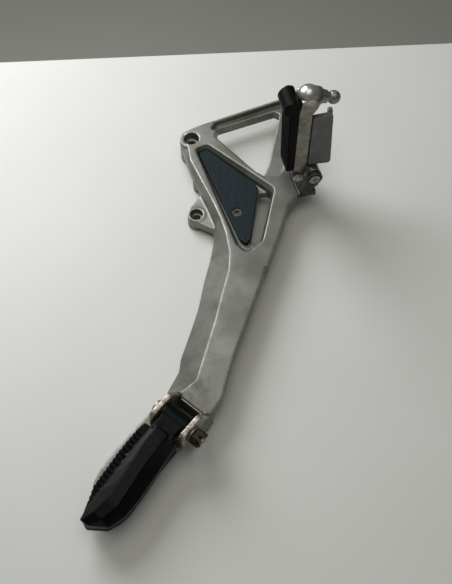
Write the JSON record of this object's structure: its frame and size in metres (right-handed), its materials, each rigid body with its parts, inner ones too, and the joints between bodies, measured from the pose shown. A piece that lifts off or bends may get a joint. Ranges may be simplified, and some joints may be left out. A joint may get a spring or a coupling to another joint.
{
  "type": "motorcycle footrest bracket",
  "caption": "Die-cast right-hand footrest bracket with a weighted folding rider peg, a folding passenger peg and a rubber heel pad.",
  "frame": {"origin": "on the back plane, halfway between the two frame bolts, on the casting's seating flange", "axes": "+Z outboard from the motorcycle, out of the casting's show face; +Y towards the end with the rider's peg; the object lies on its back plane Z = 0"},
  "size_m": [0.206, 0.4341, 0.1483],
  "materials": {
    "cast_alloy": "satin die-cast alloy, lightly oxidised",
    "bare_alloy": "bare forged alloy, worn bright",
    "dark_steel": "dark plated steel, dull",
    "zinc_steel": "zinc plated steel",
    "rusty_steel": "rusted steel",
    "black_alloy": "black painted alloy, worn",
    "grey_steel": "matte grey painted steel",
    "black_rubber": "ribbed black rubber",
    "slate_rubber": "slate moulded rubber, matte"
  },
  "bodies": {
    "bracket": {"bracket_casting": "cast_alloy", "heel_pad": "slate_rubber", "heel_pad_screw": "zinc_steel", "rider_clevis": "dark_steel", "rider_clevis_bolt": "zinc_steel", "rider_pivot_pin": "zinc_steel", "rider_pin_washer": "zinc_steel", "rider_pin_clip": "rusty_steel", "rider_return_spring": "rusty_steel", "pillion_pivot_bolt": "zinc_steel", "pillion_pivot_washer": "zinc_steel", "pillion_castle_nut": "rusty_steel", "pillion_split_pin": "rusty_steel", "pillion_detent_plate": "dark_steel"},
    "rider_peg": {"rider_peg_bar": "bare_alloy", "rider_peg_rubber": "black_rubber", "rubber_stud_1": "zinc_steel", "rubber_stud_2": "zinc_steel", "rider_peg_weight": "grey_steel", "weight_bolt_1": "zinc_steel", "weight_bolt_2": "zinc_steel", "feeler_bolt": "zinc_steel", "feeler_lock_nut": "zinc_steel"},
    "pillion_peg": {"pillion_peg_bar": "black_alloy", "pillion_peg_rubber": "black_rubber", "pillion_rubber_screw_1": "zinc_steel", "pillion_rubber_screw_2": "zinc_steel"}
  },
  "joints": [
    {"name": "rider_peg_fold", "type": "hinge", "parent": "bracket", "child": "rider_peg", "pos_m": [0.108, -0.007, 0.045], "axis": [0.2419, -0.9703, 0], "range_deg": [0, 52], "stiffness_Nm_per_rad": 0.3, "springref_deg": -34.38, "deforming": ["rider_return_spring"]},
    {"name": "pillion_peg_fold", "type": "hinge", "parent": "bracket", "child": "pillion_peg", "pos_m": [-0.0092, -0.2559, 0.034], "axis": [-0.7771, 0.6293, 0], "range_deg": [0, 85]}
  ]
}
